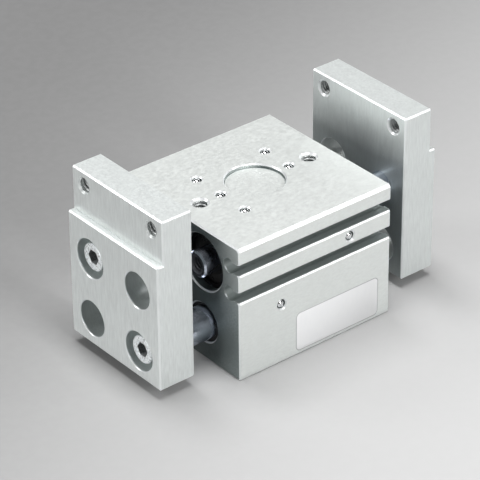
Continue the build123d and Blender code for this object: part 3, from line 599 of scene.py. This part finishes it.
def plated_screw(name, rgb, rough):
    """Bright zinc plating, mottled, with painted shade in the socket below the head's top: dark
    on its walls, lighter where it faces up, as painted light from above.
    """
    surface = Surface(name)
    grains = surface.noise((FINE_SPECK, FINE_SPECK, FINE_SPECK))
    tone = surface.blend(surface.remap(grains, 0.35, 0.6, 0.0, 1.0), tinted(rgb, 0.7), rgb)
    socket = surface.remap(surface.from_rods(), 2.35 * MM, 2.4 * MM, 1.0, 0.0)
    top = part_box("right_finger_screws")[1].x
    sunk = surface.off_middle(AXIS_X)
    sunk = surface.remap(sunk, top - 0.3 * MM, top - 0.24 * MM, 1.0, 0.0)
    # Painted shade in the socket: dark walls, and lighter up-facing faces as painted light from
    # above
    lit_from_above = surface.remap(surface.facing(AXIS_Z), 0.3, 0.8, 0.0, 1.0)
    socket_shade = surface.blend(lit_from_above, tinted(rgb, 0.1), tinted(rgb, 0.45))
    tone = surface.blend(surface.math("MULTIPLY", socket, sunk), tone, socket_shade)
    surface.link(tone, surface.shader.inputs["Base Color"])
    worn = surface.remap(grains, 0.3, 0.7, rough - 0.08, rough + 0.1)
    surface.link(worn, surface.shader.inputs["Roughness"])
    surface.bump(grains, 0.2, 0.015 * MM)
    surface.plain(metallic=0.25)
    return surface.material


def grainy(name, rgb, rough, metallic, depth, contrast):
    """Even, fine-grained surface: sintered bronze, phosphated steel, rubber or plating."""
    surface = Surface(name)
    grains = surface.noise((1800, 1800, 1800))
    patches = surface.noise((190, 190, 190), detail=2.0)
    tone = surface.blend(grains, tinted(rgb, 1 - contrast), tinted(rgb, 1 + contrast))
    tone = surface.blend(surface.remap(patches, 0.4, 0.7, 0.0, 0.5), tone, tinted(rgb, 0.85))
    edge, rounded = surface.edges(0.12 * MM)
    tone = surface.blend(surface.math("MULTIPLY", edge, 0.6), tone, tinted(rgb, 1.5))
    surface.link(tone, surface.shader.inputs["Base Color"])
    worn = surface.remap(grains, 0.3, 0.7, rough - 0.06, rough + 0.08)
    surface.link(worn, surface.shader.inputs["Roughness"])
    surface.bump(grains, depth, 0.012 * MM, rounded)
    surface.plain(metallic=metallic)
    return surface.material


def film(name, rgb, sizes):
    """Blank, satin label film, with faint fibres and a grey band of painted shadow round its
    rim.
    """
    surface = Surface(name)
    fibres = surface.noise((900, 900, 300), detail=5.0)
    tone = surface.blend(fibres, tinted(rgb, 0.96), tinted(rgb, 1.03))
    overshoot = []
    for axis, low, high in (
        (AXIS_X, sizes.label_left, sizes.label_right),
        (AXIS_Z, sizes.label_bottom, sizes.label_top),
    ):
        away = surface.math("SUBTRACT", surface.place(axis), (low + high) / 2)
        straight = (high - low) / 2 - sizes.label_corner
        past = surface.math("SUBTRACT", surface.math("ABSOLUTE", away), straight)
        past = surface.math("MAXIMUM", past, 0.0)
        overshoot.append(surface.math("MULTIPLY", past, past))
    out = surface.math("SQRT", surface.math("ADD", *overshoot))
    # Painted shadow of the label's edge: a grey band just inside its rim
    rim = sizes.label_corner - LABEL_RIM_SHADOW
    line = surface.remap(out, rim - 0.06 * MM, rim + 0.06 * MM, 0.0, 0.8)
    tone = surface.blend(line, tone, tinted(rgb, 0.45))
    surface.link(tone, surface.shader.inputs["Base Color"])
    worn = surface.remap(fibres, 0.3, 0.7, 0.46, 0.56)
    surface.link(worn, surface.shader.inputs["Roughness"])
    surface.bump(fibres, 0.05, 0.01 * MM)
    surface.plain(metallic=0.3, Coat_Weight=0.1, Coat_Roughness=0.3)
    return surface.material


def outer_planes(node, *more):
    """Outer planes of a node's box for the mask of its broken edges, as (axis, place)."""
    low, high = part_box(node)
    planes = [(AXIS_X, high.x), (AXIS_Y, high.y), (AXIS_Z, high.z), (AXIS_Z, low.z)]
    return planes + list(more)


def finishes(colours, sizes):
    """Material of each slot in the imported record, of the label and of the cut threads."""
    body_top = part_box("housing")[1]
    plate_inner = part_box("right_finger_plate")[0].x
    made = {
        "body_aluminium": brushed(
            "body_aluminium", colours.body, lengthwise=AXIS_X, on_ends=AXIS_Z, coarse=800,
            contrast=0.1, metallic=0.5, rough=0.42, planes=outer_planes("housing"),
            # Painted shade in the gap, corners, bores, grooves and recess
            gap_x=body_top.x + 0.1 * MM, gap_low=0.17, corner_low=0.3, bore_radius=9.0 * MM,
            bore_inner=0.2, bore_mouth=0.42, milled=True,
        ),
        "finger_aluminium": brushed(
            "finger_aluminium", colours.fingers, lengthwise=AXIS_Z, on_ends=AXIS_Z, coarse=240,
            contrast=0.2, metallic=0.45, rough=0.4,
            planes=outer_planes(
                "right_finger_plate", (AXIS_X, plate_inner), (AXIS_Z, body_top.z + STEP_RISE)
            ),
            # Painted shade in the gap and corners; bore_inner above 1 paints light into the
            # inner ends of the plates' bores
            gap_x=plate_inner + 0.1 * MM, gap_low=0.56, corner_low=0.75, bore_radius=6.02 * MM,
            bore_inner=1.2, bore_mouth=0.68, milled=False,
        ),
        "cover_aluminium": turned("cover_aluminium", colours.covers, AXIS_X, 0.35),
        "black_cover": turned("black_cover", colours.black, AXIS_X, 0.3, metallic=0.35),
        "ground_steel": turned("ground_steel", colours.ground, AXIS_Z, 0.28),
        "rod_steel": polished_rod("rod_steel", colours.rod, AXIS_X, 0.24),
        "screw_steel": plated_screw("screw_steel", colours.zinc, 0.3),
        "pinion_steel": turned("pinion_steel", colours.pinion, AXIS_Z, 0.32),
        "label_film": film("label_film", colours.label, sizes),
    }
    # Slot, colour, roughness, metallic share, depth of the relief, contrast
    for name, rgb, rough, metallic, depth, contrast in (
        ("bush_bronze", colours.bronze, 0.42, 0.6, 0.3, 0.2),
        ("seal_rubber", colours.rubber, 0.55, 0.0, 0.3, 0.2),
        ("black_spring_steel", colours.spring, 0.36, 0.8, 0.3, 0.2),
        ("ball_steel", colours.ball, 0.12, 1.0, 0.02, 0.04),
        ("magnet", colours.magnet, 0.6, 0.1, 0.3, 0.2),
        ("thread_cut", colours.thread, 0.4, 0.7, 0.05, 0.1),
    ):
        made[name] = grainy(name, rgb, rough, metallic, depth, contrast)
    return made


def finish(name):
    """Finish that has been made, by name."""
    return bpy.data.materials[FINISH + name]


def new_piece(name, verts, faces, material, slot, body):
    """Mesh object that rides on a body, smooth except at edges sharper than an angle."""
    mesh = bpy.data.meshes.new(name)
    mesh.from_pydata(verts, [], faces)
    repaired = bmesh.new()
    repaired.from_mesh(mesh)
    bmesh.ops.remove_doubles(repaired, verts=repaired.verts, dist=1e-7)
    bmesh.ops.recalc_face_normals(repaired, faces=repaired.faces)
    repaired.to_mesh(mesh)
    repaired.free()
    mesh.shade_smooth()
    mesh.set_sharp_from_angle(angle=SHARP_ANGLE)
    mesh.materials.append(material)
    piece = bpy.data.objects.new(name, mesh)
    bpy.context.scene.collection.objects.link(piece)
    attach(piece, body)
    return piece


def axis_frame(origin, direction):
    """Matrix whose Z axis runs along a direction from an origin."""
    turn = Vector((0, 0, 1)).rotation_difference(Vector(direction).normalized())
    return Matrix.Translation(origin) @ turn.to_matrix().to_4x4()


def thread_mesh(mouth, direction, wall, length, sizes, start):
    """Closed helical ridge on a hole's wall, from the mouth inwards, against the direction."""
    place = axis_frame(mouth, direction)
    steps = sizes.thread_steps
    pitch = sizes.thread_pitch
    count = max(2, int((length - pitch) / pitch * steps))
    verts = []
    for i in range(count + 1):
        angle = 2 * math.pi * i / steps
        depth = -start - pitch / 2 - pitch * i / steps
        run_out = steps * RIDGE_RUN_OUT
        taper = min(1.0, i / run_out, (count - i) / run_out)
        ridge = wall - sizes.thread_depth * max(taper, 0.02)
        around = Vector((math.cos(angle), math.sin(angle), 0))
        foot, crest = RIDGE_FOOT * pitch, RIDGE_CREST * pitch
        section = [(wall, foot), (ridge, crest), (ridge, -crest), (wall, -foot)]
        verts += [place @ (around * r + Vector((0, 0, depth + rise))) for r, rise in section]
    faces = [(0, 1, 2, 3), tuple(range(4 * count + 3, 4 * count - 1, -1))]
    for i in range(count):
        low, high = 4 * i, 4 * (i + 1)
        for k in range(4):
            after = (k + 1) % 4
            faces.append((low + k, low + after, high + after, high + k))
    return verts, faces


def pattern_places(holes):
    """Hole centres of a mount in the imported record: one, a pair in a line, or a rectangle."""
    centre = Vector(holes["pos_m"])
    dims = holes["dims"]
    axis = max(range(3), key=lambda k: abs(holes["axis"][k]))
    first, second = [k for k in range(3) if k != axis]
    places = [centre]
    for k, key in ((first, "spacing_x_mm"), (second, "spacing_y_mm")):
        if key in dims:
            step = Vector((0, 0, 0))
            step[k] = dims[key] * MM / 2
            places = [p + sign * step for p in places for sign in (-1, 1)]
    return places


def head_rows(sizes, head):
    """Rows of a cap screw's head, from its seat to the socket: (height, radius, form).

    The form is knurl for the knurled side, hex for the socket, and empty for a round row.
    """
    radius, height = head
    rounding = sizes.head_rounding
    rows = [(0, radius * SEAT_INNER, ""), (0, radius - HEAD_CHAMFER, "")]
    rows += [(HEAD_CHAMFER, radius, ""), (KNURL_MARGIN, radius, "knurl")]
    rows.append((height - rounding - KNURL_MARGIN, radius, "knurl"))
    rows.append((height - rounding, radius, ""))
    for step in range(1, 6):
        turn = math.pi / 2 * step / 5
        edge = radius - rounding * (1 - math.cos(turn))
        rows.append((height - rounding * (1 - math.sin(turn)), edge, ""))
    socket = sizes.socket_across / 2
    width, depth = SOCKET_CHAMFER
    floor = height - sizes.socket_depth
    point_radius, point_depth = DRILL_POINT
    rows += [(height, socket / math.cos(math.pi / 6) + width, "")]
    rows += [(height - depth, socket, "hex"), (floor, socket, "hex")]
    return rows + [(floor - point_depth, point_radius, "")]


def screw_mesh(seat, direction, sizes, head, shank):
    """Cap screw: threaded shank, knurled head with a rounded edge, hexagon socket.

    The head is (radius, height), and the shank (radius, grip, thread's radius, length).
    """
    place = axis_frame(seat, direction)
    columns = 2 * sizes.head_knurls
    shank_radius, grip, thread_radius, length = shank
    rows = [(-length, 0.3 * MM, ""), (-length, thread_radius - 0.3 * MM, "")]
    turns = int((length - grip) / sizes.thread_pitch)
    for k in range(turns):
        low = -length + k * sizes.thread_pitch
        rows += [(low + rise, thread_radius - depth, "") for rise, depth in SHANK_THREAD]
    rows += [(-grip, thread_radius, ""), (-grip, shank_radius, ""), (0, shank_radius, "")]
    rows += head_rows(sizes, head)
    verts = []
    for height, radius, form in rows:
        for column in range(columns):
            angle = 2 * math.pi * column / columns
            reach = radius
            if form == "knurl" and column % 2:
                reach = radius - sizes.knurl_depth
            if form == "hex":
                wedge = (angle + math.pi / 6) % (math.pi / 3) - math.pi / 6
                reach = radius / math.cos(wedge)
            spot = Vector((reach * math.cos(angle), reach * math.sin(angle), height))
            verts.append(place @ spot)
    faces = [tuple(range(columns - 1, -1, -1))]
    faces.append(tuple(range(len(verts) - columns, len(verts))))
    for row in range(len(rows) - 1):
        for column in range(columns):
            after = (column + 1) % columns
            low, high = row * columns, (row + 1) * columns
            faces.append((low + column, low + after, high + after, high + column))
    return verts, faces


def join_meshes(parts):
    """Vertices and faces of several meshes as one."""
    verts, faces = [], []
    for more, rings in parts:
        base = len(verts)
        verts += more
        faces += [tuple(base + k for k in ring) for ring in rings]
    return verts, faces


class GRIPPER_OT_finishes(bpy.types.Operator):
    """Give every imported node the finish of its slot"""

    bl_idname = "gripper.finishes"
    bl_label = "Metal finishes"

    def execute(self, context):
        made = finishes(context.scene.gripper_colours, context.scene.gripper_sizes)
        for subpart in frame["record"]["subparts"]:
            node = frame["nodes"].get(subpart["node"])
            if node is None:
                raise RuntimeError(f"no node named {subpart['node']}")
            node.data.materials.clear()
            node.data.materials.append(made[subpart["material_slot"]])
        return {"FINISHED"}


class GRIPPER_OT_threads(bpy.types.Operator):
    """Cut a helical thread into every tapped hole that can be seen"""

    bl_idname = "gripper.threads"
    bl_label = "Screw threads"

    def execute(self, context):
        sizes = context.scene.gripper_sizes
        for name, body, slot, length in THREADS:
            holes = mount(name)
            dims = holes["dims"]
            wall = dims.get("hole_r_mm", dims.get("r_mm")) * MM + THREAD_ROOT
            direction = Vector(holes["axis"])
            face = mouth_plane(holes, direction)
            parts = []
            for place in pattern_places(holes):
                mouth = place + direction * (face - place.dot(direction))
                run = length - THREAD_START
                parts.append(thread_mesh(mouth, direction, wall, run, sizes, THREAD_START))
            new_piece("thread_" + name, *join_meshes(parts), finish("thread_cut"), slot, body)
        self.rod_ends(sizes)
        return {"FINISHED"}

    def rod_ends(self, sizes):
        """Threads in the free ends of the four rods."""
        for side, way in (("left", 1), ("right", -1)):
            for kind in ("piston_rod", "guide_rod"):
                low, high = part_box(f"{side}_{kind}")
                mouth = (low + high) / 2
                mouth.x = high.x if way > 0 else low.x
                verts, faces = thread_mesh(
                    mouth, (way, 0, 0), ROD_THREAD_RADIUS, ROD_THREAD_LENGTH, sizes,
                    ROD_THREAD_START,
                )
                name = f"thread_{side}_{kind}"
                new_piece(name, verts, faces, finish("rod_steel"), "rod_steel", f"{side}_jaw")


def mouth_plane(holes, direction):
    """How far along a mount's axis its mouth lies: the face of the node that holds it."""
    node = "housing"
    for side in ("left", "right"):
        if holes["name"].startswith(side):
            node = f"{side}_finger_plate"
    low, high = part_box(node)
    return max(low.dot(direction), high.dot(direction))


class GRIPPER_OT_cap_screws(bpy.types.Operator):
    """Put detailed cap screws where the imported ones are"""

    bl_idname = "gripper.cap_screws"
    bl_label = "Cap screws"

    def execute(self, context):
        sizes = context.scene.gripper_sizes
        for side, way in (("left", -1), ("right", 1)):
            low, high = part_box(f"{side}_finger_screws")
            outer = high.x if way > 0 else low.x
            parts = []
            for rod in ("piston_rod", "guide_rod"):
                seat = middle(f"{side}_{rod}")
                seat.x = outer - way * HEAD_HEIGHT_PACKED
                parts.append(screw_mesh(seat, (way, 0, 0), sizes, HEAD, SHANK))
            screws = new_piece(
                f"{side}_cap_screws", *join_meshes(parts), finish("screw_steel"), "screw_steel",
                f"{side}_jaw",
            )
            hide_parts(f"{side}_finger_screws")
        return {"FINISHED"}


class GRIPPER_OT_label(bpy.types.Operator):
    """Stick a blank label on the front face"""

    bl_idname = "gripper.label"
    bl_label = "Blank label"

    def execute(self, context):
        sizes = context.scene.gripper_sizes
        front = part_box("housing")[0].y
        corner = sizes.label_corner
        corners = [
            (sizes.label_right - corner, sizes.label_top - corner, 0),
            (sizes.label_left + corner, sizes.label_top - corner, 90),
            (sizes.label_left + corner, sizes.label_bottom + corner, 180),
            (sizes.label_right - corner, sizes.label_bottom + corner, 270),
        ]
        outline = []
        for x, z, start in corners:
            for step in range(7):
                angle = math.radians(start + 15 * step)
                outline.append((x + corner * math.cos(angle), z + corner * math.sin(angle)))
        count = len(outline)
        thickness = sizes.label_thickness
        levels = [(0, 0), (-thickness * LABEL_SQUARE, 0), (-thickness, LABEL_INSET)]
        centre_x = (sizes.label_left + sizes.label_right) / 2
        centre_z = (sizes.label_bottom + sizes.label_top) / 2
        verts = []
        for out, inset in levels:
            for x, z in outline:
                away = Vector((x - centre_x, z - centre_z)).normalized() * inset
                verts.append(Vector((x - away.x, front + out, z - away.y)))
        faces = [tuple(range(count)), tuple(range(3 * count - 1, 2 * count - 1, -1))]
        for level in range(2):
            for k in range(count):
                after = (k + 1) % count
                low, high = level * count, (level + 1) * count
                faces.append((low + k, low + after, high + after, high + k))
        new_piece("blank_label", verts, faces, finish("label_film"), None, "body")
        return {"FINISHED"}


class GRIPPER_OT_studio(bpy.types.Operator):
    """Set the floor, lamps, room light and camera"""

    bl_idname = "gripper.studio"
    bl_label = "Studio"

    def execute(self, context):
        studio = context.scene.gripper_studio
        context.scene.view_settings.view_transform = "Standard"
        self.floor(studio)
        self.room(context.scene, studio)
        self.lamps(studio)
        self.camera(context.scene, studio)
        return {"FINISHED"}

    def floor(self, studio):
        """Round floor whose colour runs from grey at the far left to pale at the near right."""
        mesh = bpy.data.meshes.new("floor")
        disc = bmesh.new()
        bmesh.ops.create_circle(disc, cap_ends=True, segments=96, radius=FLOOR_RADIUS)
        disc.to_mesh(mesh)
        disc.free()
        floor = bpy.data.objects.new("floor", mesh)
        floor.location.z = -FLOOR_DROP
        bpy.context.scene.collection.objects.link(floor)
        surface = Surface("floor_paper")
        right = Vector((math.cos(studio.azimuth), math.sin(studio.azimuth), 0))
        away = Vector((-right.y, right.x, 0))
        fall = right * FLOOR_FALL[0] + away * FLOOR_FALL[1]
        dot = surface.node("ShaderNodeVectorMath", operation="DOT_PRODUCT")
        dot.inputs[1].default_value = fall
        surface.link(surface.coordinates.outputs["Object"], dot.inputs[0])
        ramp = surface.node("ShaderNodeMapRange", interpolation_type="SMOOTHSTEP", clamp=True)
        for socket, value in zip(ramp.inputs, (dot.outputs["Value"], *FLOOR_RAMP, 0.0, 1.0)):
            surface.feed(socket, value)
        tone = surface.blend(ramp.outputs[0], studio.floor_dark, studio.floor_pale)
        paper = surface.noise((300, 300, 300), detail=6.0)
        tone = surface.blend(surface.remap(paper, 0.4, 0.6, 0.0, 0.012), tone, (0.9, 0.9, 0.9))
        rays = surface.node("ShaderNodeLightPath").outputs
        seen = surface.math("MAXIMUM", rays["Is Camera Ray"], rays["Is Glossy Ray"])
        tone = surface.blend(seen, studio.floor_bounce, tone)
        surface.link(tone, surface.shader.inputs["Base Color"])
        surface.plain(Roughness=0.9, Specular_IOR_Level=0.1)
        mesh.materials.append(surface.material)

    def room(self, scene, studio):
        """Pale room: brighter overhead, greyer at the horizon."""
        world = bpy.data.worlds.new("pale_room")
        world.use_nodes = True
        scene.world = world
        nodes, links = world.node_tree.nodes, world.node_tree.links
        background = nodes["Background"]
        coordinates = nodes.new("ShaderNodeTexCoord")
        split = nodes.new("ShaderNodeSeparateXYZ")
        links.new(coordinates.outputs["Generated"], split.inputs[0])
        ramp = nodes.new("ShaderNodeValToRGB")
        horizon, overhead = ramp.color_ramp.elements
        horizon.position = 0.0
        horizon.color = ROOM_LOW
        overhead.position = 0.75
        overhead.color = ROOM_HIGH
        links.new(split.outputs["Z"], ramp.inputs[0])
        links.new(ramp.outputs[0], background.inputs["Color"])
        background.inputs["Strength"].default_value = studio.sky

    def lamps(self, studio):
        """Soft boxes overhead, in front, at the left and behind, and a small one for edges."""
        for name, place, (width, height), power in LAMPS:
            lamp = bpy.data.lights.new(name, "AREA")
            lamp.shape = "RECTANGLE"
            lamp.size = width
            lamp.size_y = height
            lamp.energy = getattr(studio, power)
            made = bpy.data.objects.new(name, lamp)
            made.location = place
            look = Vector(LAMPS_AIM) - Vector(place)
            made.rotation_euler = look.to_track_quat("-Z", "Y").to_euler()
            bpy.context.scene.collection.objects.link(made)

    def camera(self, scene, studio):
        """Camera at the photo's angle."""
        lens = bpy.data.cameras.new("camera")
        lens.lens = studio.lens
        lens.sensor_width = 36
        lens.clip_start = 0.01
        lens.clip_end = 20
        made = bpy.data.objects.new("camera", lens)
        back = Vector((
            math.sin(studio.azimuth) * math.cos(studio.elevation),
            -math.cos(studio.azimuth) * math.cos(studio.elevation),
            math.sin(studio.elevation),
        ))
        made.location = Vector(studio.aim) + back * studio.distance
        level = (-back).to_track_quat("-Z", "Y").to_matrix().to_4x4()
        roll = Matrix.Rotation(studio.roll, 4, "Z")
        made.rotation_euler = (level @ roll).to_euler()
        scene.collection.objects.link(made)
        scene.camera = made


class GRIPPER_PT_looks(bpy.types.Panel):
    """Sizes, colours and steps of the gripper's looks"""

    bl_idname = "GRIPPER_PT_looks"
    bl_label = "Gripper looks"
    bl_space_type = "VIEW_3D"
    bl_region_type = "UI"
    bl_category = "Gripper"

    def draw(self, context):
        for group in (
            context.scene.gripper_sizes, context.scene.gripper_colours,
            context.scene.gripper_studio,
        ):
            box = self.layout.box()
            for name in group.__annotations__:
                box.prop(group, name)
        for operator in OPERATORS:
            self.layout.operator(operator.bl_idname)


OPERATORS = (
    GRIPPER_OT_finishes,
    GRIPPER_OT_threads,
    GRIPPER_OT_cap_screws,
    GRIPPER_OT_label,
    GRIPPER_OT_studio,
)
CLASSES = (GripperSizes, GripperColours, GripperStudio, *OPERATORS, GRIPPER_PT_looks)


def register():
    """Make the properties, steps and panel known to Blender."""
    for made in CLASSES:
        bpy.utils.register_class(made)
    bpy.types.Scene.gripper_sizes = PointerProperty(type=GripperSizes)
    bpy.types.Scene.gripper_colours = PointerProperty(type=GripperColours)
    bpy.types.Scene.gripper_studio = PointerProperty(type=GripperStudio)


def unregister():
    """Take them away again."""
    for name in ("gripper_sizes", "gripper_colours", "gripper_studio"):
        delattr(bpy.types.Scene, name)
    for made in reversed(CLASSES):
        bpy.utils.unregister_class(made)


def main():
    """Run every step."""
    register()
    bpy.ops.gripper.finishes()
    bpy.ops.gripper.threads()
    bpy.ops.gripper.cap_screws()
    bpy.ops.gripper.label()
    bpy.ops.gripper.studio()


if __name__ == "__main__":
    main()
